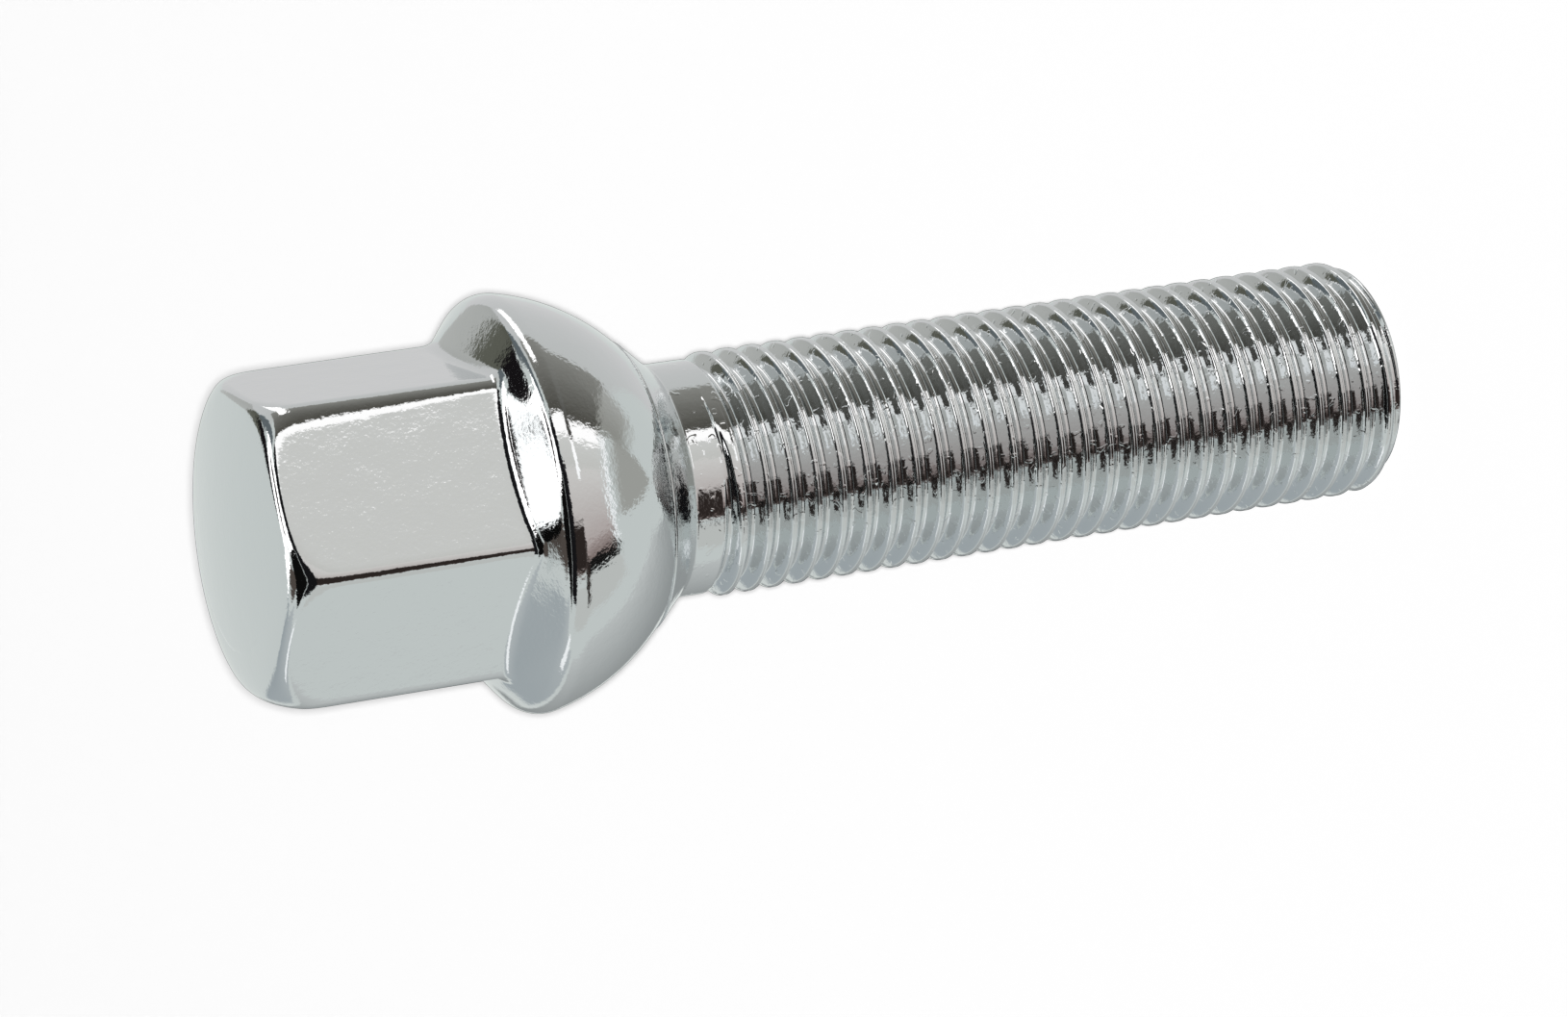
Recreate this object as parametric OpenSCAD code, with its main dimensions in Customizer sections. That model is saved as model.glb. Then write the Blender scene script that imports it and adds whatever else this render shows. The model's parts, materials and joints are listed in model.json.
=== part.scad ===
// Wheel bolt with a ball seat: hexagon head, flared collar, ball seat, neck and rolled thread,
// forged and rolled as one piece. It stands on its thread end with the head up.
// The origin is the centre of the thread's end face, and +Z runs along the axis to the head.

/* [Thread] */
// Diameter over the crests of the rolled M14 thread
thread_d = 13.8; // [10:0.1:20]
// Height of one turn of the thread
pitch = 1.5; // [1.25:0.05:2]
// Length of the thread, from the end face to where its groove runs out
thread_length = 42.7; // [16:0.1:80]
// Depth of the groove between two crests
groove_depth = 0.85; // [0.5:0.01:0.9]
// Width of the groove's floor
root_width = 0.28; // [0.1:0.01:0.3]
// Turn over which the groove grows shallow at the neck, in degrees
runout_turn = 100; // [45:5:340]
// Direction in which the groove's floor leaves the end face, in degrees from the X axis
groove_start = 93; // [-180:1:180]
// Radius of the rounded edge at the thread's end
end_round = 1.8; // [0.5:0.1:3]

/* [Neck] */
// Diameter of the plain neck between the thread and the ball seat
neck_d = 13.2; // [10:0.1:20]
// Length of the plain neck, from the thread to the fillet
neck_length = 2.15; // [0.5:0.05:20]
// Radius of the fillet between the neck and the ball seat
neck_fillet = 0.6; // [0.4:0.1:3]

/* [Ball seat] */
// Radius of the ball seat, which beds in the wheel
ball_r = 12; // [11.4:0.1:14]
// Distance from the ball's centre down to the upper end of the seat
seat_top = 2.4; // [1.5:0.1:4]
// Radius of the collar's rounded rim
rim_round = 1.6; // [0.8:0.1:2]

/* [Collar flare] */
// Height of the flats' lower ends above the ball's centre
flare_rise = 0.25; // [0:0.05:1]
// Slope of each flare facet below the horizontal, in degrees
flare_slope = 26; // [20:1:32]
// Radius of each facet's slight crown, across its width
flare_crown = 30; // [24:1:60]

/* [Hexagon head] */
// Width across flats, for a 17 mm spanner
hex_af = 16.75; // [14:0.05:18]
// Height of the flats and the end together, above the flats' lower ends
hex_height = 14.4; // [8:0.05:25]
// Radius of the six long corners
corner_round = 0.6; // [0.2:0.1:2]
// Radius of the rounding between the head's end face and each flat
edge_round = 3; // [1.5:0.1:4]
// Drop from the end face to the upper end of each flat
edge_drop = 1.2; // [0.5:0.05:1.5]
// Radius of the round cut that takes off the corners at the head's end
corner_cut = 3.2; // [2:0.1:5]
// Diameter of the flat part of the end face inside that cut
end_face_d = 13; // [10:0.1:14]

/* [Quality] */
// Straight pieces in one turn of the thread's groove
turn_steps = 20; // [16:1:24]
// Facets of the round surfaces in a preview
preview_facets = 96; // [48:4:128]

/* [Hidden] */
$fn = preview_facets;
flank_angle = 30;
chrome_grey = [0.77, 0.79, 0.80];
thread_r = thread_d / 2;
neck_r = neck_d / 2;
flat_dist = hex_af / 2;

// Height of the small cone between the last crest and the neck
shoulder = abs(thread_r - neck_r);

// Heights along the axis
fillet_z = thread_length + neck_length;
ball_z = fillet_z + sqrt(pow(ball_r + neck_fillet, 2) - pow(neck_r + neck_fillet, 2));
flat_z = ball_z + flare_rise;
top_z = flat_z + hex_height;

// Where the fillet meets the ball, as a radius and a height
fillet_share = ball_r / (ball_r + neck_fillet);
fillet_top_r = (neck_r + neck_fillet) * fillet_share;
fillet_top_z = ball_z - (ball_z - fillet_z) * fillet_share;

// Centre of the rim's rounding, which touches the ball from inside at the seat's upper end
rim_share = (ball_r - rim_round) / ball_r;
rim_centre_r = sqrt(pow(ball_r, 2) - pow(seat_top, 2)) * rim_share;
rim_centre_z = ball_z - seat_top * rim_share;
rim_shoulder_angle = 50;

// The groove's cutter reaches past the crests, and its turns stay clear of each other
cutter_reach = 0.1;
cutter_r = thread_r + cutter_reach;
root_r = thread_r - groove_depth;
first_root_z = -pitch;
last_root_z = thread_length - root_width / 2;
groove_steps = ceil((last_root_z - first_root_z) / pitch * turn_steps);
runout_steps = ceil(runout_turn / 360 * turn_steps);

// Share of its full depth that the groove has at one step
function groove_share(i) = min(1, max(0, (groove_steps - i) / runout_steps));

// The four corners of the groove's cutter at one step of the helix
function groove_ring(i) =
    let (
        angle = groove_start + 360 * i / turn_steps,
        z = first_root_z + pitch * i / turn_steps,
        depth = max((groove_depth + cutter_reach) * groove_share(i), cutter_reach / 2),
        floor_r = cutter_r - depth,
        half_floor = root_width / 2,
        half_mouth = half_floor + (cutter_r - floor_r) * tan(flank_angle),
        section = [
            [cutter_r, -half_mouth], [floor_r, -half_floor],
            [floor_r, half_floor], [cutter_r, half_mouth]
        ]
    )
    [for (p = section) [p[0] * cos(angle), p[0] * sin(angle), z + p[1]]];

// Solid that the rolled groove takes out of the shank
module groove_cutter() {
    rings = [for (i = [0 : groove_steps]) groove_ring(i)];
    points = [for (ring = rings) for (p = ring) p];
    sides = [
        for (i = [0 : groove_steps - 1]) for (k = [0 : 3])
            let (a = 4 * i + k, b = 4 * i + (k + 1) % 4)
            each [[a, b + 4, b], [a, a + 4, b + 4]]
    ];
    last = 4 * groove_steps;
    ends = [[0, 1, 2, 3], [last + 3, last + 2, last + 1, last]];
    polyhedron(points = points, faces = concat(sides, ends));
}

// Shank blank with its rounded end, up to the neck
module shank_blank() {
    flat_r = thread_r - end_round;
    rotate_extrude() {
        square([flat_r, thread_length]);
        intersection() {
            translate([flat_r, end_round]) circle(r = end_round);
            translate([flat_r, 0]) square(end_round);
        }
        polygon([
            [0, end_round], [thread_r, end_round], [thread_r, thread_length - shoulder],
            [neck_r, thread_length], [0, thread_length]
        ]);
    }
}

// Threaded shank
module thread() {
    difference() {
        shank_blank();
        groove_cutter();
    }
}

// Plain neck and its fillet into the ball seat, with a core that reaches into both neighbours
module neck() {
    core_r = root_r - groove_depth;
    rotate_extrude() {
        translate([0, thread_length - pitch]) square([core_r, ball_z - thread_length + pitch]);
        difference() {
            translate([0, thread_length]) square([fillet_top_r, fillet_top_z - thread_length]);
            translate([neck_r + neck_fillet, fillet_z]) circle(r = neck_fillet);
            translate([neck_r, thread_length - pitch]) square([ball_r, neck_length + pitch]);
        }
    }
}

// Ball seat with the collar's rounded rim, before the flare is cut
module collar_blank() {
    shoulder_r = rim_centre_r + rim_round * cos(rim_shoulder_angle);
    shoulder_z = rim_centre_z + rim_round * sin(rim_shoulder_angle);
    blank_top = flat_z + rim_round;
    rotate_extrude() {
        intersection() {
            translate([0, ball_z]) circle(r = ball_r);
            translate([0, fillet_top_z]) square([ball_r, ball_z - seat_top - fillet_top_z]);
        }
        translate([rim_centre_r, rim_centre_z]) circle(r = rim_round);
        polygon([
            [0, ball_z - seat_top], [rim_centre_r, ball_z - seat_top], [rim_centre_r, rim_centre_z],
            [shoulder_r, shoulder_z], [flat_dist, blank_top], [0, blank_top]
        ]);
    }
}

// Solid whose upper side is one crowned flare facet, which starts at a flat's lower end
module flare_facet() {
    facet_reach = 6 * ball_r;
    translate([flat_dist, 0, flat_z])
        rotate([0, flare_slope, 0])
            translate([0, 0, -flare_crown])
                rotate([0, 90, 0])
                    cylinder(r = flare_crown, h = facet_reach, center = true);
}

// Collar with its six flare facets
module collar() {
    intersection() {
        collar_blank();
        intersection_for (i = [0 : 5]) rotate([0, 0, 60 * i + 30]) flare_facet();
    }
}

// Hexagon with rounded corners, its flats at 30 degrees and each 60 degrees on
module rounded_hexagon() {
    corner_dist = (flat_dist - corner_round) / cos(30);
    polygon([
        for (i = [0 : 5]) for (side = [-30, 30])
            corner_dist * [cos(60 * i), sin(60 * i)]
                + corner_round * [cos(60 * i + side), sin(60 * i + side)]
    ]);
    for (i = [0 : 5]) rotate(60 * i) translate([corner_dist, 0]) circle(r = corner_round);
}

// Slab that rounds the end face over to two opposite flats; its own walls stand outside them
module rounded_slab() {
    round_x = flat_dist - sqrt(pow(edge_round, 2) - pow(edge_round - edge_drop, 2));
    wall_x = round_x + edge_round;
    rotate([90, 0, 0]) linear_extrude(height = 2 * hex_af, center = true) {
        translate([-wall_x, 0]) square([2 * wall_x, top_z - edge_round]);
        translate([-round_x, 0]) square([2 * round_x, top_z]);
        for (side = [-1, 1]) translate([side * round_x, top_z - edge_round]) circle(r = edge_round);
    }
}

// Round cut over the head's end, which takes the corners off
module end_cut() {
    cut_r = end_face_d / 2;
    rotate_extrude() {
        square([cut_r, top_z]);
        square([cut_r + corner_cut, top_z - corner_cut]);
        intersection() {
            translate([cut_r, top_z - corner_cut]) circle(r = corner_cut);
            translate([cut_r, top_z - corner_cut]) square(corner_cut);
        }
    }
}

// Hexagon head, from inside the collar to the end face
module head() {
    base_z = ball_z - seat_top;
    intersection() {
        translate([0, 0, base_z]) linear_extrude(height = top_z) rounded_hexagon();
        intersection_for (i = [0 : 2]) rotate([0, 0, 60 * i + 30]) rounded_slab();
        end_cut();
    }
}

// The whole bolt
module wheel_bolt() {
    color(chrome_grey) union() {
        thread();
        neck();
        collar();
        head();
    }
}

wheel_bolt();
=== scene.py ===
"""Looks of a chrome-plated wheel bolt with a ball seat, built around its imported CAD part.

The bolt is one skin. Geometry Nodes sweep its rolled thread, and the neck, the ball seat, the flared
collar and the hexagon head are read off a smooth solid, so every edge has its small real rounding.
"""

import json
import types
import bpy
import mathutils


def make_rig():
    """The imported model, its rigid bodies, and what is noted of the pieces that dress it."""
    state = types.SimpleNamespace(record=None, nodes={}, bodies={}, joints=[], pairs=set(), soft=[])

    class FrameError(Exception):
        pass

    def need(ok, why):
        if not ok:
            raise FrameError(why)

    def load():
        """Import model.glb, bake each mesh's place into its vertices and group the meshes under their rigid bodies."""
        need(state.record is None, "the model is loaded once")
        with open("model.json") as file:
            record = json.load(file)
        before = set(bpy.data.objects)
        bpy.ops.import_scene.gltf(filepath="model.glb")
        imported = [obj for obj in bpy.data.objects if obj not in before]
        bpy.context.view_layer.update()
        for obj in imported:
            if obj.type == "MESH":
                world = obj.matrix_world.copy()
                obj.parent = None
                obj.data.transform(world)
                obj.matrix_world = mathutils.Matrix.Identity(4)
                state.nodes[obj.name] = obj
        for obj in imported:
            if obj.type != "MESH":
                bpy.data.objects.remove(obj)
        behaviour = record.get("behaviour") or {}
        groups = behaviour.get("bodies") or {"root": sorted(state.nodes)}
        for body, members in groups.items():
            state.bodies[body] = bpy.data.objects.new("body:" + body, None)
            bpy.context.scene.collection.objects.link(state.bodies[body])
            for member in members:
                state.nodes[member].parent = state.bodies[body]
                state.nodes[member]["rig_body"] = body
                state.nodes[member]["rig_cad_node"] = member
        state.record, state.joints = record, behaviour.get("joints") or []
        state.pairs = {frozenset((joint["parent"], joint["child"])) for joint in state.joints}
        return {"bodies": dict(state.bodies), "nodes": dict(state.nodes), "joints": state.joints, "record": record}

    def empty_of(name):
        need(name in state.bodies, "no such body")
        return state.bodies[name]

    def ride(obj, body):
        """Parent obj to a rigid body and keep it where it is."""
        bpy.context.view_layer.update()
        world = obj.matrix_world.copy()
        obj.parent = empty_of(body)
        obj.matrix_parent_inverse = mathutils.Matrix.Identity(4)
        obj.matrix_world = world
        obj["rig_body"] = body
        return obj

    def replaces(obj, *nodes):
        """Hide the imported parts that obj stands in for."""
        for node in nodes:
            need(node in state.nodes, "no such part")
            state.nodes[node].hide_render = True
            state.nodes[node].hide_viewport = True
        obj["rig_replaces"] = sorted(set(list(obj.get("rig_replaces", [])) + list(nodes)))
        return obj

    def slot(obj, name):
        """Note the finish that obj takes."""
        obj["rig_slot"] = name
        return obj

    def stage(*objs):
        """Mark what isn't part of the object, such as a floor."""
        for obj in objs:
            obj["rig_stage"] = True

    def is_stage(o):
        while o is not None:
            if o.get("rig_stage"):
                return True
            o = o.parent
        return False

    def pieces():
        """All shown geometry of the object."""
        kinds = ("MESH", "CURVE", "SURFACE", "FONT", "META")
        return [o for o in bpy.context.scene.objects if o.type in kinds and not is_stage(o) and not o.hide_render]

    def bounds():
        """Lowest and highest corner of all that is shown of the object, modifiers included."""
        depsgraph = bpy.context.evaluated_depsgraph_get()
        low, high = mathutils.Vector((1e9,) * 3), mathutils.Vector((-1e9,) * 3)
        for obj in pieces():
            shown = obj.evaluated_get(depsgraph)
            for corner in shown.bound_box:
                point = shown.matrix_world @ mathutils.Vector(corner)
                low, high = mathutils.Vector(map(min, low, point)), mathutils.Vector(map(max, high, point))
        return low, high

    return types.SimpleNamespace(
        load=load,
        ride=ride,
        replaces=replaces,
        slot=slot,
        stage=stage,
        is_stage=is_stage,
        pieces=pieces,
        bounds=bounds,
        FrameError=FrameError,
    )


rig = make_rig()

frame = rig.load()

import json
import logging
import math
from dataclasses import dataclass, field
from enum import Enum

import bmesh
import bpy
import numpy as np
from mathutils import Matrix, Vector

LOG = logging.getLogger("wheel_bolt")
MM = 0.001
SIZE_FILE = "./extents.json"

# Distances in metres within which points count as one, and within which they share a ring
WELD = 2e-7
RING_REACH = 1e-6

# Degrees that one flat of the hexagon takes up
SECTOR = 60


class Stand(Enum):
    """Where a card stands."""

    FAR = "far around the bolt"
    NEAR = "close to the thread's end"


@dataclass(frozen=True)
class ThreadSize:
    """Sizes of the rolled thread, in mm and degrees."""

    crest_r: float = 6.9
    pitch: float = 1.5
    groove_depth: float = 0.85
    root_half: float = 0.14
    flank_angle: float = 30.0
    root_phase: float = 1.107
    runout_end: float = 27.83
    runout_turns: float = 0.3
    end_round: float = 1.8
    crest_gain: float = 3.0
    crest_soft: float = 0.05
    wall_soft: float = 0.09
    root_soft: float = 0.16
    end_soft: float = 0.12
    runout_gain: float = 5.0
    furrow_depth: float = 0.06
    furrow_half: float = 0.06
    top_z: float = 43.5
    columns: int = 108
    rows_per_turn: int = 18
    crowding: float = -0.55


@dataclass(frozen=True)
class NeckSize:
    """Sizes of the plain neck and its small flare into the ball seat, in mm."""

    radius: float = 6.6
    crease_z: float = 44.6
    flare_slope: float = 0.92
    flare_top_z: float = 46.4
    crease_soft: float = 0.07
    flare_soft: float = 0.2


@dataclass(frozen=True)
class CollarSize:
    """Sizes of the ball seat, the rim and the six flare facets, in mm and degrees."""

    ball_r: float = 11.992
    ball_z: float = 55.19
    seat_top: float = 2.4
    rim_round: float = 1.6
    rim_shoulder_angle: float = 50.0
    facet_slope: float = 26.0
    facet_crown: float = 30.0
    ridge_soft: float = 0.35
    rim_soft: float = 0.16
    back_rise: float = 0.6
    back_reach: float = 8.5


@dataclass(frozen=True)
class HeadSize:
    """Sizes of the hexagon head, in mm and degrees.

    The flats roll over along their long edges. They do so most beside the worn corner, and by a share
    of that elsewhere.
    """

    flat_dist: float = 8.5
    flat_z: float = 55.44
    top_z: float = 69.838
    corner_soft: float = 0.28
    dome_r: float = 42.0
    dome_shift: tuple[float, float] = (-1.1, 1.5)
    edge_soft: float = 0.45
    cut_r: float = 5.9
    corner_cut: float = 4.0
    base_soft: float = 0.55
    roll_wide: float = 1.7
    roll_narrow: float = 0.7
    roll_share: float = 0.17
    roll_most: float = 1.4
    worn_corner: float = 300.0
    other_roll: float = 0.3


@dataclass(frozen=True)
class SkinDetail:
    """How fine the skin above the thread is cut."""

    start_z: float = 43.8
    turn_z: float = 65.5
    half_columns: int = 24
    corner_share: float = 0.25
    rows: int = 130
    samples: int = 1500
    halvings: int = 34
    over_share: float = 1.4
    calm_samples: int = 15
    slope_step: float = 0.004
    step_mm: float = 0.8
    step_degrees: float = 5.0


@dataclass(frozen=True)
class ChromeFinish:
    """Look of the bolt's bright chrome plating; lengths in mm."""

    tint: str = "#d3d7d8"
    roughness: float = 0.05
    ripple_mm: float = 1.6
    ripple_height: float = 0.02
    peel_mm: float = 0.25
    peel_height: float = 0.008
    nodule_mm: float = 0.45
    nodule_height: float = 0.012
    nodule_top_mm: float = 45.0
    nodule_levels: tuple[float, float] = (0.68, 0.78)


def linear_colour(hex_code: str) -> tuple[float, float, float, float]:
    """Turns an sRGB hex code into the linear colour that shaders take.

    Args:
        hex_code: Colour such as "#d3d7d8".

    Returns:
        Red, green and blue in linear light, and full opacity.
    """
    shares = [int(hex_code[i : i + 2], 16) / 255 for i in (1, 3, 5)]
    red, green, blue = (s / 12.92 if s <= 0.04045 else ((s + 0.055) / 1.055) ** 2.4 for s in shares)
    return (red, green, blue, 1.0)


def add_node(tree: bpy.types.NodeTree, kind: str, settings: dict | None = None, **links) -> bpy.types.Node:
    """Adds a node with its settings, and links or sets its inputs.

    Args:
        tree: Node tree that gets the node.
        kind: Blender's name of the node type.
        settings: Node properties to set.
        **links: Input name, or in_N for input number N, with an output socket to link or a value to set.

    Returns:
        The new node.
    """
    node = tree.nodes.new(kind)
    for name, value in (settings or {}).items():
        setattr(node, name, value)
    for name, value in links.items():
        by_number = name.startswith("in_")
        socket = node.inputs[int(name[3:])] if by_number else node.inputs[name.replace("_", " ")]
        if isinstance(value, bpy.types.NodeSocket):
            tree.links.new(value, socket)
        else:
            socket.default_value = value
    return node


class Field:
    """A number in a node tree. Arithmetic on it adds Math nodes."""

    def __init__(self, tree: bpy.types.NodeTree, value: "bpy.types.NodeSocket | float"):
        self.tree = tree
        self.value = value

    def math(self, operation: str, *others: "Field | float", clamp: bool = False) -> "Field":
        """Adds one Math node that works on this number and the others."""
        values = [self.value] + [o.value if isinstance(o, Field) else float(o) for o in others]
        node = add_node(
            self.tree,
            "ShaderNodeMath",
            {"operation": operation, "use_clamp": clamp},
            **{f"in_{i}": value for i, value in enumerate(values)},
        )
        return Field(self.tree, node.outputs[0])

    def __add__(self, other: "Field | float") -> "Field":
        return self.math("ADD", other)

    def __sub__(self, other: "Field | float") -> "Field":
        return self.math("SUBTRACT", other)

    def __mul__(self, other: "Field | float") -> "Field":
        return self.math("MULTIPLY", other)

    def __truediv__(self, other: "Field | float") -> "Field":
        return self.math("DIVIDE", other)

    def least(self, other: "Field | float") -> "Field":
        """The smaller of two numbers."""
        return self.math("MINIMUM", other)

    def most(self, other: "Field | float") -> "Field":
        """The larger of two numbers."""
        return self.math("MAXIMUM", other)

    def share(self) -> "Field":
        """This number held between 0 and 1."""
        return self.math("ADD", 0.0, clamp=True)

    def ease(self, low: float, high: float) -> "Field":
        """A smooth step from 0 at low to 1 at high."""
        node = add_node(
            self.tree,
            "ShaderNodeMapRange",
            {"interpolation_type": "SMOOTHSTEP"},
            in_0=self.value,
            in_1=low,
            in_2=high,
            in_3=0.0,
            in_4=1.0,
        )
        return Field(self.tree, node.outputs[0])


def soft_most(a: np.ndarray, b: np.ndarray, reach: float) -> np.ndarray:
    """Larger of two distances, with the edge between them rounded off over a reach in mm."""
    share = np.maximum(reach - np.abs(a - b), 0) / reach
    return np.maximum(a, b) + share * share * reach / 4


def soft_least(a: np.ndarray, b: np.ndarray, reach: float) -> np.ndarray:
    """Smaller of two distances, with the corner between them filled over a reach in mm."""
    return -soft_most(-a, -b, reach)


def fold_angle(angle: np.ndarray) -> np.ndarray:
    """Angle from the nearest flat's middle; the flats face 30 degrees and each 60 degrees on."""
    return np.mod(angle, math.radians(SECTOR)) - math.radians(SECTOR / 2)


class Thread:
    """Rolled thread with its run-out and the rounded end, swept by Geometry Nodes."""

    def __init__(self, size: ThreadSize, neck: NeckSize):
        self.size = size
        self.neck = neck

    def inputs(self) -> dict[str, float | int]:
        """Named inputs of the node tree with their values."""
        size = self.size
        first_row = -math.ceil((1 + size.root_phase / size.pitch) * size.rows_per_turn)
        last_row = math.ceil((size.top_z - size.root_phase) / size.pitch * size.rows_per_turn) + 1
        return {
            "Columns": size.columns + 1,
            "Rows": last_row - first_row + 1,
            "First Turn": first_row / size.rows_per_turn,
            "Turns": (last_row - first_row) / size.rows_per_turn,
            "Pitch": size.pitch,
            "Crest Radius": size.crest_r,
            "Neck Radius": self.neck.radius,
            "Groove Depth": size.groove_depth,
            "End Rounding": size.end_round,
        }

    def tree(self, material: bpy.types.Material) -> bpy.types.NodeTree:
        """Writes the node tree that bends a grid along the helix.

        Args:
            material: Finish set on the swept skin.

        Returns:
            The node tree.
        """
        size = self.size
        tree = bpy.data.node_groups.new("rolled_thread", "GeometryNodeTree")
        for name, value in self.inputs().items():
            kind = "NodeSocketInt" if isinstance(value, int) else "NodeSocketFloat"
            tree.interface.new_socket(name, in_out="INPUT", socket_type=kind)
        tree.interface.new_socket("Geometry", in_out="OUTPUT", socket_type="NodeSocketGeometry")
        given = add_node(tree, "NodeGroupInput").outputs
        pitch, crest_r, neck_r, groove_depth, end_r = (
            Field(tree, given[name])
            for name in ("Pitch", "Crest Radius", "Neck Radius", "Groove Depth", "End Rounding")
        )

        grid = add_node(
            tree, "GeometryNodeMeshGrid", None, in_0=1.0, in_1=1.0, in_2=given["Columns"], in_3=given["Rows"]
        )
        position = add_node(tree, "GeometryNodeInputPosition").outputs[0]
        place = add_node(tree, "ShaderNodeSeparateXYZ", None, in_0=position)

        # The grid runs from -0.5 to 0.5: one turn around the axis in X, and all the turns in Y
        turn_share = Field(tree, place.outputs[0]) + 0.5
        first_turn, turn_count = Field(tree, given["First Turn"]), Field(tree, given["Turns"])
        row_turn = (Field(tree, place.outputs[1]) + 0.5) * turn_count + first_turn

        # Rows crowd at the crests and the roots, where the profile bends most
        crowd = (row_turn * (4 * math.pi)).math("SINE") * (size.crowding / (4 * math.pi))
        height = (row_turn + crowd + turn_share) * pitch + size.root_phase
        height = height.most(0.0).least(size.top_z)
        arc = (height / end_r * (math.pi / 2)).least(math.pi / 2)
        rounded = (arc.math("COSINE") * -1.0 + 1.0) * end_r
        height = rounded + (height - end_r).most(0.0)

        # Distance from the nearest groove's floor, and how deep that groove still is
        turns = (height - size.root_phase) / pitch - turn_share
        groove = (turns + 0.5).math("FLOOR")
        offset = (turns - groove) * pitch
        along = groove + turn_share
        depth_share = ((along * -1.0 + size.runout_end) / size.runout_turns).share()
        upper_share = ((along * -1.0 + (size.runout_end - 1)) / size.runout_turns).share()

        # A crest stands up below each groove, so the last groove ends at the plain neck
        is_upper = offset.math("GREATER_THAN", 0.0)
        above_share = depth_share + (upper_share - depth_share) * is_upper
        crest = neck_r + (crest_r - neck_r) * (above_share * size.crest_gain).share()

        slope = math.tan(math.radians(size.flank_angle))
        depth = groove_depth * depth_share
        reach = offset.math("ABSOLUTE")
        wall = (depth * slope + size.root_half - reach) / slope
        cut = wall.math("SMOOTH_MAX", 0.0, size.wall_soft).math("SMOOTH_MIN", depth, size.root_soft)
        radius = crest_r - cut * (depth_share * size.runout_gain).share()
        radius = radius.math("SMOOTH_MIN", crest, size.crest_soft)

        # Furrow along the middle of each crest, where the two rolled lips meet
        near = ((reach * -1.0 + size.pitch / 2) / size.furrow_half).least(1.0)
        dip = (near * near * -1.0 + 1.0) * size.furrow_depth
        radius = radius - dip * above_share

        # Rounding of the thread's end
        below = (height * -1.0 + end_r).most(0.0)
        end_limit = (end_r * end_r - below * below).most(0.0).math("SQRT") + (crest_r - end_r)
        radius = radius.math("SMOOTH_MIN", end_limit, size.end_soft) * MM

        angle = turn_share * (2 * math.pi)
        point = add_node(
            tree,
            "ShaderNodeCombineXYZ",
            None,
            in_0=(radius * angle.math("COSINE")).value,
            in_1=(radius * angle.math("SINE")).value,
            in_2=(height * MM).value,
        )
        bent = add_node(
            tree, "GeometryNodeSetPosition", None, Geometry=grid.outputs["Mesh"], Position=point.outputs[0]
        )
        real = add_node(tree, "GeometryNodeRealizeInstances", None, Geometry=bent.outputs[0])
        dressed = add_node(
            tree, "GeometryNodeSetMaterial", None, Geometry=real.outputs[0], Material=material
        )
        add_node(tree, "NodeGroupOutput", None, Geometry=dressed.outputs[0])
        return tree

    def build(self, material: bpy.types.Material) -> bpy.types.Mesh:
        """Sweeps the thread and gives it back as a plain mesh.

        Args:
            material: Finish set on the swept skin.

        Returns:
            The mesh, open at the end face and at the neck.
        """
        carrier = bpy.data.objects.new("thread_carrier", bpy.data.meshes.new("thread_carrier"))
        bpy.context.scene.collection.objects.link(carrier)
        modifier = carrier.modifiers.new("rolled_thread", "NODES")
        modifier.node_group = self.tree(material)
        values = self.inputs()
        for item in modifier.node_group.interface.items_tree:
            if item.in_out == "INPUT":
                modifier[item.identifier] = values[item.name]
        graph = bpy.context.evaluated_depsgraph_get()
        mesh = bpy.data.meshes.new_from_object(carrier.evaluated_get(graph))
        carrier.modifiers.remove(modifier)
        bpy.data.objects.remove(carrier)
        return mesh


class Neck:
    """Plain neck with the crease ring and the small flare that leads into the ball seat."""

    def __init__(self, size: NeckSize):
        self.size = size

    def distance(self, radius: np.ndarray, z: np.ndarray, body: np.ndarray) -> np.ndarray:
        """Joins the neck to the body above it.

        Args:
            radius: Distance from the axis, in mm.
            z: Height, in mm.
            body: Signed distance to the body above, in mm.

        Returns:
            Signed distance to the body with its neck.
        """
        size = self.size
        lean = math.hypot(1, size.flare_slope)
        flare = (radius - size.radius - (z - size.crease_z) * size.flare_slope) / lean
        flare = np.maximum(flare, z - size.flare_top_z)
        body = soft_least(body, flare, size.flare_soft)
        plain = np.maximum(radius - size.radius, z - size.flare_top_z)
        return soft_least(body, plain, size.crease_soft)


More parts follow.
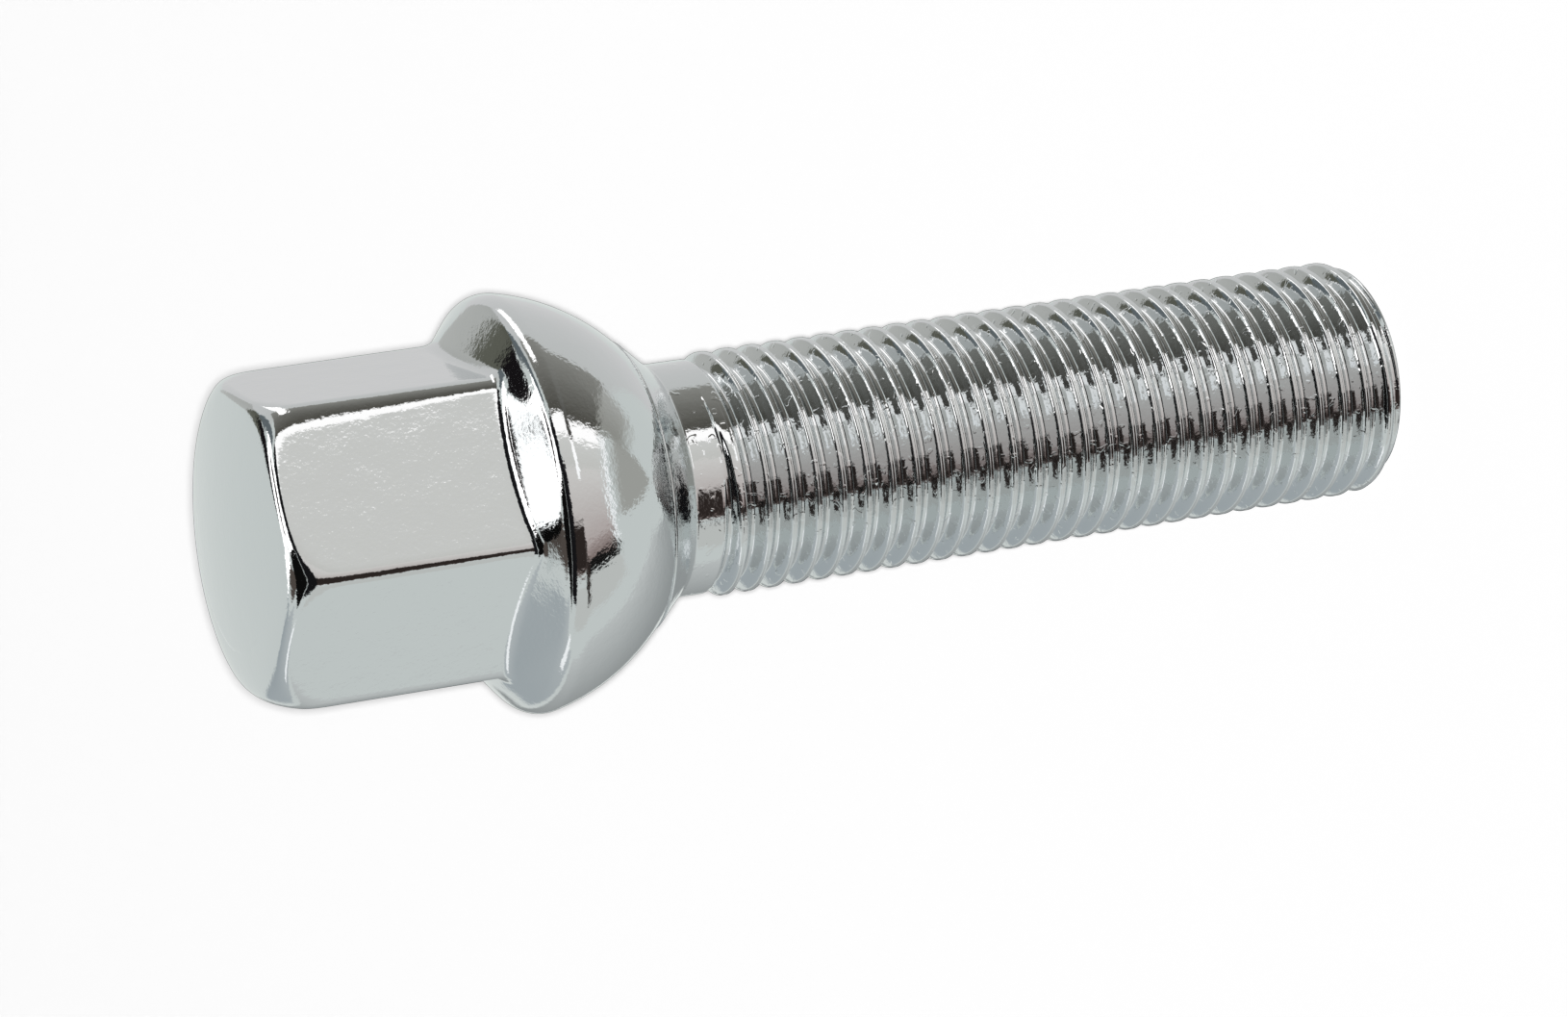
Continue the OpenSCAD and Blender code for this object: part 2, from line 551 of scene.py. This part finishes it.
class Collar:
    """Ball seat, rounded rim and the six crowned flare facets above it."""

    def __init__(self, size: CollarSize, head: HeadSize):
        self.size = size
        self.head = head

    def blank(self, radius: np.ndarray, z: np.ndarray) -> np.ndarray:
        """Signed distance to the round blank before the facets are struck."""
        size = self.size
        share = (size.ball_r - size.rim_round) / size.ball_r
        seat_r = math.sqrt(size.ball_r**2 - size.seat_top**2)
        across, up = radius - seat_r * share, z - size.ball_z + size.seat_top * share
        ball = np.hypot(radius, z - size.ball_z) - size.ball_r
        rim = np.hypot(across, up) - size.rim_round
        angle = math.radians(size.rim_shoulder_angle)
        cone = across * math.cos(angle) + up * math.sin(angle) - size.rim_round
        upper = np.where(np.arctan2(up, across) > angle, cone, rim)
        is_ball = across * size.seat_top + up * seat_r < 0
        return np.where(is_ball, ball, upper)

    def facet(self, out: np.ndarray, side: np.ndarray, z: np.ndarray) -> np.ndarray:
        """Signed distance below one crowned facet, from the way out and the way aside."""
        slope = math.radians(self.size.facet_slope)
        rise = (out - self.head.flat_dist) * math.sin(slope) + (z - self.head.flat_z) * math.cos(slope)
        return np.hypot(side, rise + self.size.facet_crown) - self.size.facet_crown

    def distance(self, radius: np.ndarray, angle: np.ndarray, z: np.ndarray) -> np.ndarray:
        """Signed distance to the collar, whose facets stand a little higher at the back.

        Args:
            radius: Distance from the axis, in mm.
            angle: Angle from the X axis, in radians.
            z: Height, in mm.

        Returns:
            Distances in mm, below 0 inside.
        """
        size = self.size
        fold = fold_angle(angle)
        back = np.clip(1 + radius * np.sin(angle) / size.back_reach, 0, 1)
        lifted_z = z - size.back_rise * back * back * (3 - 2 * back)
        near = self.facet(radius * np.cos(fold), radius * np.sin(fold), lifted_z)
        other_angle = math.radians(SECTOR) - np.abs(fold)
        other = self.facet(radius * np.cos(other_angle), radius * np.sin(other_angle), lifted_z)
        facets = soft_most(near, other, size.ridge_soft)
        return soft_most(self.blank(radius, z), facets, size.rim_soft)


class Head:
    """Hexagon head with rounded corners and an end face that rolls over to the flats."""

    def __init__(self, size: HeadSize, lowest_z: float):
        self.size = size
        self.lowest_z = lowest_z

    def flat(self, radius: np.ndarray, turn: np.ndarray, z: np.ndarray, roll: np.ndarray) -> np.ndarray:
        """Signed distance to one flat, which rolls over a little toward its corner.

        Args:
            radius: Distance from the axis, in mm.
            turn: Angle from the flat's middle toward the corner, in radians.
            z: Height, in mm.
            roll: Size of the rolled edge, as a share of the worn corner's.

        Returns:
            Distances in mm.
        """
        size = self.size
        share = np.clip((z - size.flat_z) / (size.top_z - size.flat_z), 0, 1)
        reach = roll * (size.roll_narrow + (size.roll_wide - size.roll_narrow) * share)
        half = size.flat_dist * math.tan(math.radians(SECTOR / 2))
        near = np.clip(1 - (half - radius * np.sin(turn)) / reach, 0, size.roll_most)
        return radius * np.cos(turn) - size.flat_dist + near * near * reach * size.roll_share

    def distance(self, radius: np.ndarray, angle: np.ndarray, z: np.ndarray) -> np.ndarray:
        """Signed distance to the head.

        Args:
            radius: Distance from the axis, in mm.
            angle: Angle from the X axis, in radians.
            z: Height, in mm.

        Returns:
            Distances in mm, below 0 inside.
        """
        size = self.size
        turn = np.abs(fold_angle(angle))
        worn = np.mod(np.degrees(angle) - size.worn_corner + 180, 360) - 180
        is_before, is_after = (worn > -SECTOR / 2) & (worn <= 0), (worn > 0) & (worn < SECTOR / 2)
        near = self.flat(radius, turn, z, np.where(is_before, 1.0, size.other_roll))
        other_turn = math.radians(SECTOR) - turn
        other = self.flat(radius, other_turn, z, np.where(is_after, 1.0, size.other_roll))
        prism = soft_most(near, other, size.corner_soft)

        aside = radius * np.cos(angle) - size.dome_shift[0]
        back = radius * np.sin(angle) - size.dome_shift[1]
        dome = np.sqrt(aside**2 + back**2 + (z - size.top_z + size.dome_r) ** 2) - size.dome_r
        head = soft_most(prism, dome, size.edge_soft)

        across, up = np.maximum(radius - size.cut_r, 0), z - size.top_z + size.corner_cut
        cut = np.hypot(across, np.maximum(up, 0)) - size.corner_cut - np.maximum(size.cut_r - radius, 0)
        head = soft_most(head, cut, size.edge_soft)
        return np.maximum(head, self.lowest_z - z)


class UpperBody:
    """Everything above the thread, read off its smooth solid as rings of points."""

    def __init__(self, neck: Neck, collar: Collar, head: Head, detail: SkinDetail):
        self.neck = neck
        self.collar = collar
        self.head = head
        self.detail = detail

    def distance(self, radius: np.ndarray, angle: np.ndarray, z: np.ndarray) -> np.ndarray:
        """Signed distance to the whole upper body, with the angle from the X axis in radians."""
        head = self.head.distance(radius, angle, z)
        collar = self.collar.distance(radius, angle, z)
        return self.neck.distance(radius, z, soft_least(head, collar, self.head.size.base_soft))

    def profile(self, angles: np.ndarray) -> tuple[np.ndarray, np.ndarray]:
        """Finds each column's outline by halving along rays from the axis.

        Args:
            angles: Column angles in radians.

        Returns:
            Radius and height, one row for each column.
        """
        detail = self.detail
        top_z = self.head.size.top_z
        up_length = detail.turn_z - detail.start_z
        over_length = 0.5 * math.pi * (top_z - detail.turn_z) * detail.over_share
        way = np.linspace(0, up_length + over_length, detail.samples)
        tilt = np.clip((way - up_length) / over_length, 0, 1) * math.pi / 2
        origin_z = np.minimum(detail.start_z + way, detail.turn_z)
        low = np.zeros((len(angles), detail.samples))
        high = np.full_like(low, 2 * self.collar.size.ball_r)
        column = angles[:, None]
        for _ in range(detail.halvings):
            middle = (low + high) / 2
            radius, z = middle * np.cos(tilt), origin_z + middle * np.sin(tilt)
            inside = self.distance(radius, column + 0 * radius, z) < 0
            low, high = np.where(inside, middle, low), np.where(inside, high, middle)
        return low * np.cos(tilt), origin_z + low * np.sin(tilt)

    def rings(self) -> np.ndarray:
        """Places the rows close together where the outline bends.

        Returns:
            Points of the rings from the neck to the middle of the end face, in mm.
        """
        detail = self.detail
        share = np.linspace(0, 1, detail.half_columns + 1)
        half = SECTOR / 2 * (detail.corner_share * share + (1 - detail.corner_share) * share**2)
        sextant = np.concatenate([half[:-1], SECTOR - half[:0:-1]])
        turn = np.radians(np.concatenate([SECTOR * i + sextant for i in range(6)]))
        radius, z = self.profile(turn)
        steps = np.hypot(np.diff(radius), np.diff(z))
        bend = np.unwrap(np.arctan2(np.diff(z), np.diff(radius)))
        bend = np.abs(np.diff(bend, prepend=bend[:, :1]))
        weight = steps / detail.step_mm + np.degrees(bend) / detail.step_degrees
        kernel = np.hanning(detail.calm_samples)
        kernel /= kernel.sum()
        edge = detail.calm_samples // 2
        weight = np.array([np.convolve(np.pad(w, edge, mode="edge"), kernel, mode="valid") for w in weight])
        filled = np.concatenate([np.zeros((len(turn), 1)), np.cumsum(weight, axis=1)], axis=1)
        goal = np.linspace(0, 1, detail.rows)
        points = np.empty((detail.rows, len(turn), 3))
        for i, angle in enumerate(turn):
            spread = filled[i] / filled[i][-1]
            ring_r, ring_z = np.interp(goal, spread, radius[i]), np.interp(goal, spread, z[i])
            points[:, i] = np.stack([ring_r * math.cos(angle), ring_r * math.sin(angle), ring_z], axis=1)
        return points

    def normals(self, points: np.ndarray) -> np.ndarray:
        """Directions square to the smooth solid at points in mm."""
        columns = []
        for axis in range(3):
            shift = np.zeros(3)
            shift[axis] = self.detail.slope_step
            ahead, behind = points + shift, points - shift
            sides = [
                self.distance(np.hypot(p[:, 0], p[:, 1]), np.arctan2(p[:, 1], p[:, 0]), p[:, 2])
                for p in (ahead, behind)
            ]
            columns.append(sides[0] - sides[1])
        slope = np.stack(columns, axis=1)
        return slope / np.linalg.norm(slope, axis=1, keepdims=True)


class Skin:
    """Joins the thread, the upper body and the end face into one closed mesh."""

    def __init__(self, thread: bpy.types.Mesh):
        self.body = bmesh.new()
        self.body.from_mesh(thread)
        bmesh.ops.remove_doubles(self.body, verts=self.body.verts, dist=WELD)

    def open_ring(self, z_mm: float) -> list[bmesh.types.BMVert]:
        """Open edge at one height, in order of angle."""
        ring = [v for v in self.body.verts if v.is_boundary and abs(v.co.z - z_mm * MM) < RING_REACH]
        return sorted(ring, key=lambda v: math.atan2(v.co.y, v.co.x))

    def add_ring(self, points: np.ndarray) -> list[bmesh.types.BMVert]:
        """Adds a ring of points in mm, in order of angle."""
        ring = [self.body.verts.new(Vector(p) * MM) for p in points]
        return sorted(ring, key=lambda v: math.atan2(v.co.y, v.co.x))

    def stitch(self, lower: list[bmesh.types.BMVert], upper: list[bmesh.types.BMVert]) -> None:
        """Fills the band between two rings, whose counts may differ, with triangles."""
        turn = 2 * math.pi

        def angle(ring: list[bmesh.types.BMVert], i: int) -> float:
            vert = ring[i % len(ring)]
            return math.atan2(vert.co.y, vert.co.x) + turn * (i // len(ring))

        i = j = 0
        while i < len(lower) or j < len(upper):
            a, b = lower[i % len(lower)], upper[j % len(upper)]
            lower_next = i < len(lower) and (j >= len(upper) or angle(lower, i + 1) <= angle(upper, j + 1))
            if lower_next:
                i += 1
                self.body.faces.new((a, lower[i % len(lower)], b))
            else:
                j += 1
                self.body.faces.new((a, upper[j % len(upper)], b))

    def band(self, lower: list[bmesh.types.BMVert], upper: list[bmesh.types.BMVert]) -> None:
        """Fills the band between two rings of the same count with quads."""
        count = len(lower)
        for i in range(count):
            self.body.faces.new((lower[i], lower[(i + 1) % count], upper[(i + 1) % count], upper[i]))

    def cap(self, ring: list[bmesh.types.BMVert], z_mm: float) -> None:
        """Closes a ring with a fan to one point on the axis."""
        middle = self.body.verts.new(Vector((0, 0, z_mm * MM)))
        count = len(ring)
        for i in range(count):
            self.body.faces.new((ring[i], ring[(i + 1) % count], middle))

    def finish(self, name: str, material: bpy.types.Material) -> bpy.types.Object:
        """Turns all faces outward and makes the object.

        Args:
            name: Name of the object.
            material: Its finish.

        Returns:
            The object, linked to the scene.
        """
        bmesh.ops.remove_doubles(self.body, verts=self.body.verts, dist=WELD)
        bmesh.ops.recalc_face_normals(self.body, faces=self.body.faces)
        for face in self.body.faces:
            face.smooth = True
        open_edges = sum(not edge.is_manifold for edge in self.body.edges)
        mesh = bpy.data.meshes.new(name)
        self.body.to_mesh(mesh)
        self.body.free()
        mesh.materials.clear()
        mesh.materials.append(material)
        obj = bpy.data.objects.new(name, mesh)
        bpy.context.scene.collection.objects.link(obj)
        triangles = sum(len(p.vertices) - 2 for p in mesh.polygons)
        LOG.info("%s: %d triangles, %d open edges", name, triangles, open_edges)
        return obj


class ChromePlate:
    """Bright nickel-chrome plating over a forged and rolled surface."""

    def __init__(self, finish: ChromeFinish):
        self.finish = finish

    def build(self) -> bpy.types.Material:
        """Writes the plating's shader.

        Returns:
            The material.
        """
        finish = self.finish
        material = bpy.data.materials.new("bright_chrome_plating")
        material.use_nodes = True
        tree = material.node_tree
        tree.nodes.clear()
        place = add_node(tree, "ShaderNodeTexCoord").outputs["Object"]

        # Slow ripple of the forged surface under the plating bends the reflections' edges
        ripple = add_node(
            tree, "ShaderNodeTexNoise", None, Vector=place, Scale=1 / (finish.ripple_mm * MM), Detail=1.0
        )
        # Fine orange peel of the plating breaks those edges up
        peel = add_node(
            tree, "ShaderNodeTexNoise", None, Vector=place, Scale=1 / (finish.peel_mm * MM), Detail=2.0
        )
        slow = add_node(
            tree,
            "ShaderNodeBump",
            None,
            Strength=1.0,
            Distance=finish.ripple_height * MM,
            Height=ripple.outputs[0],
        )
        fine = add_node(
            tree,
            "ShaderNodeBump",
            None,
            Strength=1.0,
            Distance=finish.peel_height * MM,
            Height=peel.outputs[0],
            Normal=slow.outputs[0],
        )
        # Small nodules stand out of the plating on the thread and the neck
        height = Field(tree, add_node(tree, "ShaderNodeSeparateXYZ", None, in_0=place).outputs[2])
        is_low = height.math("LESS_THAN", finish.nodule_top_mm * MM)
        spots = add_node(
            tree, "ShaderNodeTexNoise", None, Vector=place, Scale=1 / (finish.nodule_mm * MM), Detail=0.0
        )
        rough = add_node(
            tree,
            "ShaderNodeBump",
            None,
            Strength=1.0,
            Distance=finish.nodule_height * MM,
            Height=(Field(tree, spots.outputs[0]).ease(*finish.nodule_levels) * is_low).value,
            Normal=fine.outputs[0],
        )
        shader = add_node(
            tree,
            "ShaderNodeBsdfPrincipled",
            None,
            Base_Color=linear_colour(finish.tint),
            Metallic=1.0,
            Roughness=finish.roughness,
            Normal=rough.outputs[0],
        )
        add_node(tree, "ShaderNodeOutputMaterial", None, Surface=shader.outputs[0])
        return material


@dataclass
class WheelBolt:
    """The whole bolt, dressed as one piece."""

    thread: ThreadSize = field(default_factory=ThreadSize)
    neck: NeckSize = field(default_factory=NeckSize)
    collar: CollarSize = field(default_factory=CollarSize)
    head: HeadSize = field(default_factory=HeadSize)
    detail: SkinDetail = field(default_factory=SkinDetail)
    finish: ChromeFinish = field(default_factory=ChromeFinish)

    def build(self) -> bpy.types.Object:
        """Builds the skin and its plating.

        Returns:
            The bolt's object.
        """
        material = ChromePlate(self.finish).build()
        skin = Skin(Thread(self.thread, self.neck).build(material))
        lowest_z = self.collar.ball_z - self.collar.seat_top
        body = UpperBody(
            Neck(self.neck), Collar(self.collar, self.head), Head(self.head, lowest_z), self.detail
        )
        rows = body.rings()
        rings = [skin.add_ring(points) for points in rows[:-1]]
        skin.stitch(skin.open_ring(self.thread.top_z), rings[0])
        for lower, upper in zip(rings, rings[1:]):
            skin.band(lower, upper)
        skin.cap(rings[-1], rows[-1][0, 2])
        skin.cap(skin.open_ring(0.0), 0.0)
        bolt = skin.finish("wheel_bolt_skin", material)
        self.set_normals(bolt.data, body)
        return bolt

    def set_normals(self, mesh: bpy.types.Mesh, body: UpperBody) -> None:
        """Gives the upper body the smooth solid's own normals, so that reflections run true."""
        count = len(mesh.vertices)
        points, normals = np.empty(count * 3), np.empty(count * 3)
        mesh.vertices.foreach_get("co", points)
        mesh.vertex_normals.foreach_get("vector", normals)
        points, normals = points.reshape(-1, 3) / MM, normals.reshape(-1, 3)
        upper = points[:, 2] > self.detail.start_z - RING_REACH / MM
        normals[upper] = body.normals(points[upper])
        mesh.normals_split_custom_set_from_vertices(normals.tolist())

    def dress(self, bolt: bpy.types.Object) -> None:
        """Ties the bolt to the CAD part and its material slot."""
        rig.ride(bolt, "root")
        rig.replaces(bolt, "wheel_bolt")
        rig.slot(bolt, "chromed_steel")


@dataclass(frozen=True)
class Card:
    """A curved card around the bolt that only reflections see.

    Around and up give its first and last direction as seen from the bolt, in degrees: around from the
    X axis, and up from the level. The first and last colour, around the bolt, are the ones that the
    plated bolt shows of it; gain makes it brighter than they say. Soft is the width of its borders, in
    degrees.
    """

    name: str
    around: tuple[float, float]
    up: tuple[float, float]
    first: str
    last: str
    soft: float = 3.0
    gain: float = 1.0
    stand: Stand = Stand.FAR


class Studio:
    """White sweep, cards, world light, floor lamp and the camera."""

    MIDDLE = Vector((0, 0, 0.04))
    OUTER_RADIUS = 4.0
    NEAR_MIDDLE = Vector((0, 0, 0.008))
    NEAR_RADIUS = 0.15
    CARD_GAP = 0.03
    CARD_STEP = 2.5
    AMBIENT = 0.25
    LAMP_POWER = 20.0
    LAMP_SOFT = 0.001
    FLOOR_HALF = 3.0
    CAMERA_PLACE = Vector((-67.979, -267.841, 143.514)) * MM
    LENS = 119.93
    SENSOR_WIDTH = 36.0

    def __init__(self, cards: tuple[Card, ...], tint: str):
        self.cards = cards
        self.tint = tint

    def build(self) -> None:
        """Builds the floor, the cards, the world, the lamp and the camera."""
        self.floor()
        glow = self.glow()
        for number, card in enumerate(self.cards):
            if card.stand is Stand.NEAR:
                self.card(card, self.NEAR_MIDDLE, self.NEAR_RADIUS, glow)
            else:
                self.card(card, self.MIDDLE, self.OUTER_RADIUS - number * self.CARD_GAP, glow)
        self.world()
        self.lamp()
        self.camera()

    def add_piece(self, name: str, mesh: bpy.types.Mesh, material: bpy.types.Material) -> bpy.types.Object:
        """Makes a mesh a piece of the stage."""
        mesh.materials.append(material)
        obj = bpy.data.objects.new(name, mesh)
        bpy.context.scene.collection.objects.link(obj)
        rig.stage(obj)
        return obj

    def floor(self) -> None:
        """White floor that keeps the bolt's shadow; the metal sees the cards below it instead."""
        material = bpy.data.materials.new("white_sweep")
        material.use_nodes = True
        shader = material.node_tree.nodes["Principled BSDF"]
        shader.inputs["Base Color"].default_value = linear_colour("#f4f4f4")
        shader.inputs["Roughness"].default_value = 0.9
        mesh = bpy.data.meshes.new("studio_floor")
        half = self.FLOOR_HALF
        corners = [(-half, -half, 0), (half, -half, 0), (half, half, 0), (-half, half, 0)]
        mesh.from_pydata(corners, [], [(0, 1, 2, 3)])
        floor = self.add_piece("studio_floor", mesh, material)
        floor.is_shadow_catcher = True
        floor.visible_glossy = False

    def glow(self) -> bpy.types.Material:
        """Glow of the cards, read off their corners; it makes up for the plating's own tint."""
        material = bpy.data.materials.new("card_glow")
        material.use_nodes = True
        # Reflections find the cards by themselves, so no light samples go to them
        material.cycles.emission_sampling = "NONE"
        tree = material.node_tree
        tree.nodes.clear()
        read = {"attribute_type": "GEOMETRY"}
        colour = add_node(tree, "ShaderNodeAttribute", {**read, "attribute_name": "card_colour"})
        cover = add_node(tree, "ShaderNodeAttribute", {**read, "attribute_name": "card_cover"})
        glow = add_node(tree, "ShaderNodeEmission", None, Color=colour.outputs["Color"], Strength=1.0)
        clear = add_node(tree, "ShaderNodeBsdfTransparent")
        mix = add_node(
            tree,
            "ShaderNodeMixShader",
            None,
            in_0=cover.outputs["Fac"],
            in_1=clear.outputs[0],
            in_2=glow.outputs[0],
        )
        add_node(tree, "ShaderNodeOutputMaterial", None, Surface=mix.outputs[0])
        return material

    def steps(self, span: tuple[float, float], soft: float) -> tuple[np.ndarray, np.ndarray]:
        """Directions across a card and how far each one covers, with soft borders."""
        count = max(1, math.ceil((span[1] - span[0]) / self.CARD_STEP))
        inner = np.linspace(span[0] + soft / 2, span[1] - soft / 2, count + 1)
        way = np.concatenate([[span[0] - soft / 2], inner, [span[1] + soft / 2]])
        cover = np.ones(len(way))
        cover[[0, -1]] = 0
        return way, cover

    def card(self, card: Card, middle: Vector, radius: float, glow: bpy.types.Material) -> None:
        """Builds one card as a patch of a ball around the bolt.

        Args:
            card: The card.
            middle: Middle of the ball.
            radius: Radius of the ball, in metres.
            glow: Material that shows the card's colours.
        """
        around, side_cover = self.steps(card.around, card.soft)
        up, high_cover = self.steps(card.up, card.soft)
        tint = np.array(linear_colour(self.tint)[:3]) / card.gain
        first, last = (np.array(linear_colour(c)[:3]) / tint for c in (card.first, card.last))
        verts, colours, covers, faces = [], [], [], []
        for i, high in enumerate(up):
            for j, turn in enumerate(around):
                level, side = math.radians(min(90, max(-90, high))), math.radians(turn)
                way = (math.cos(side) * math.cos(level), math.sin(side) * math.cos(level), math.sin(level))
                verts.append(middle + Vector(way) * radius)
                share = min(1, max(0, (turn - card.around[0]) / (card.around[1] - card.around[0])))
                colours += [*(first + (last - first) * share), 1]
                covers.append(side_cover[j] * high_cover[i])
                if i and j:
                    corner = i * len(around) + j
                    faces.append((corner, corner - 1, corner - len(around) - 1, corner - len(around)))
        mesh = bpy.data.meshes.new(card.name)
        mesh.from_pydata(verts, [], faces)
        mesh.attributes.new("card_colour", "FLOAT_COLOR", "POINT").data.foreach_set("color", colours)
        mesh.attributes.new("card_cover", "FLOAT", "POINT").data.foreach_set("value", covers)
        obj = self.add_piece(card.name, mesh, glow)
        obj.visible_camera = obj.visible_diffuse = obj.visible_shadow = False
        obj.visible_transmission = obj.visible_volume_scatter = False

    def world(self) -> None:
        """World that the camera and the metal see white, and that lights the floor a little."""
        world = bpy.data.worlds.new("studio_world")
        bpy.context.scene.world = world
        world.use_nodes = True
        tree = world.node_tree
        tree.nodes.clear()
        path = add_node(tree, "ShaderNodeLightPath").outputs
        seen = Field(tree, path["Is Camera Ray"]) + Field(tree, path["Is Glossy Ray"])
        seen = (seen + Field(tree, path["Is Transmission Ray"])).share()
        strength = seen * (1 - self.AMBIENT) + self.AMBIENT
        sky = add_node(tree, "ShaderNodeBackground", None, Color=(1, 1, 1, 1), Strength=strength.value)
        add_node(tree, "ShaderNodeOutputWorld", None, Surface=sky.outputs[0])

    def lamp(self) -> None:
        """Lamp over the camera that lights the floor, so that the bolt's shadow stays faint."""
        data = bpy.data.lights.new("floor_lamp", "POINT")
        data.energy = self.LAMP_POWER
        data.shadow_soft_size = self.LAMP_SOFT
        lamp = bpy.data.objects.new("floor_lamp", data)
        bpy.context.scene.collection.objects.link(lamp)
        lamp.location = self.CAMERA_PLACE
        lamp.visible_glossy = False
        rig.stage(lamp)

    def camera(self) -> None:
        """Camera that looks down on the standing bolt, rolled so that the bolt lies across the picture."""
        data = bpy.data.cameras.new("main_camera")
        data.lens = self.LENS
        data.sensor_width = self.SENSOR_WIDTH
        camera = bpy.data.objects.new("main_camera", data)
        bpy.context.scene.collection.objects.link(camera)
        right = Vector((-0.23411, -0.30845, -0.92198))
        up = Vector((0.94675, -0.28794, -0.14408))
        back = Vector((-0.22104, -0.90661, 0.35944))
        turn = Matrix((right, up, back)).transposed().to_4x4()
        camera.matrix_world = Matrix.Translation(self.CAMERA_PLACE) @ turn
        data.clip_start = 0.01
        bpy.context.scene.camera = camera


# Each card stands a little nearer than the one before it and covers it
CARDS = (
    Card("pale_room", (-180, 180), (-90, 90), "#bcc3c2", "#bcc3c2", soft=0.0),
    Card("lower_far_wall", (88, 160), (-75, 0), "#7c8283", "#b4b9b9"),
    Card("upper_blue_wall", (95, 165), (8, 60), "#929b9f", "#aab1b3"),
    Card("white_strip", (146, 172), (17, 28), "#e8ecee", "#e8ecee"),
    Card("table_below", (-130, -58), (-90, -63), "#979995", "#979995", soft=5.0),
    Card("dark_below", (65, 95), (-82, -63), "#50555a", "#50555a"),
    Card("side_wall", (-180, -154), (-58, 14), "#b5b9b7", "#b5b9b7"),
    Card("window_edge", (-149, -132), (-56, 20), "#6a5c58", "#a09694"),
    Card("window_left", (-134, -88), (-56, 20), "#a8a09e", "#c8c8c6"),
    Card("window_middle", (-90, -70), (-56, 20), "#bcbdba", "#c6c8c6"),
    Card("window_right", (-72, -58), (-56, 22), "#fdfdfd", "#ffffff", soft=2.0),
    Card("window_sill", (-145, -61), (-59, -57), "#e8ecee", "#f4f6f8", soft=1.0),
    Card("right_wall", (-27, 52), (-60, 34), "#b4b8b7", "#bdbfc0"),
    Card("olive_floor", (-60, -12), (-72, -50), "#858681", "#a0a29f", soft=8.0),
    Card("olive_wall", (-59, -8), (-56, 20), "#464540", "#82837f"),
    Card("window_right_low", (-96, -71), (-36, -25), "#f6f8fa", "#ffffff", soft=2.0),
    Card("olive_low", (-72, -8), (-36, -25), "#3c3b38", "#82837f", soft=2.0),
    Card("frame_low", (-154, -145), (-58, -28), "#101010", "#181818", soft=2.0),
    Card("frame_right", (-170, -142), (-34, -26), "#2a2422", "#2a2422", soft=4.0),
    Card("frame_middle", (-159, -130), (-27, -22), "#2a2422", "#2a2422", soft=4.0),
    Card("frame_high", (-147, -120), (-23, 18), "#2a2422", "#2a2422", soft=4.0),
    Card("dark_lintel", (-166, -87), (14, 38), "#141416", "#141416", soft=2.0),
    Card("dark_beam", (-90, -57), (21, 49), "#161618", "#161618", soft=2.0),
    Card("slate_board", (-45, 30), (35, 50), "#5a6266", "#5a6266"),
    Card("grey_board", (30, 58), (12, 34), "#a0a3a1", "#a8aba9"),
    Card("olive_board", (28, 56), (32, 44), "#50524a", "#5c5e56", soft=2.0),
    Card("dark_board", (34, 66), (42, 60), "#141214", "#141214", soft=2.0),
    Card("far_ceiling", (80, 200), (68, 82), "#4a4440", "#4a4440"),
    Card("dark_ceiling", (-180, -90), (40, 84), "#0c0c0c", "#0c0c0c"),
    Card("soft_box", (-90, 95), (60, 86), "#ffffff", "#ffffff", gain=1.5),
    Card("soft_box_low", (-90, 0), (51, 62), "#ffffff", "#ffffff", gain=1.5),
    Card("dark_gap", (-45, 0), (64, 84), "#2a2828", "#2a2828"),
    Card("near_window", (-30, 18), (16, 26), "#ffffff", "#ffffff", gain=1.4, stand=Stand.NEAR),
)


def record_size(key: str) -> None:
    low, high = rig.bounds()
    sizes = {}
    if key != "frame":
        with open(SIZE_FILE) as source:
            sizes = json.load(source)
    sizes[key] = [list(low), list(high)]
    with open(SIZE_FILE, "w") as target:
        json.dump(sizes, target)


def main() -> None:
    """Builds the bolt and its studio, and reports each piece."""
    logging.basicConfig(level=logging.INFO, format="%(name)s: %(message)s")
    bpy.context.scene.view_settings.view_transform = "Standard"
    record_size("frame")
    bolt = WheelBolt()
    piece = bolt.build()
    bolt.dress(piece)
    LOG.info("bolt dressed as %s", piece.name)
    Studio(CARDS, bolt.finish.tint).build()
    LOG.info("studio set with %d cards", len(CARDS))
    record_size("built")


if __name__ == "__main__":
    main()
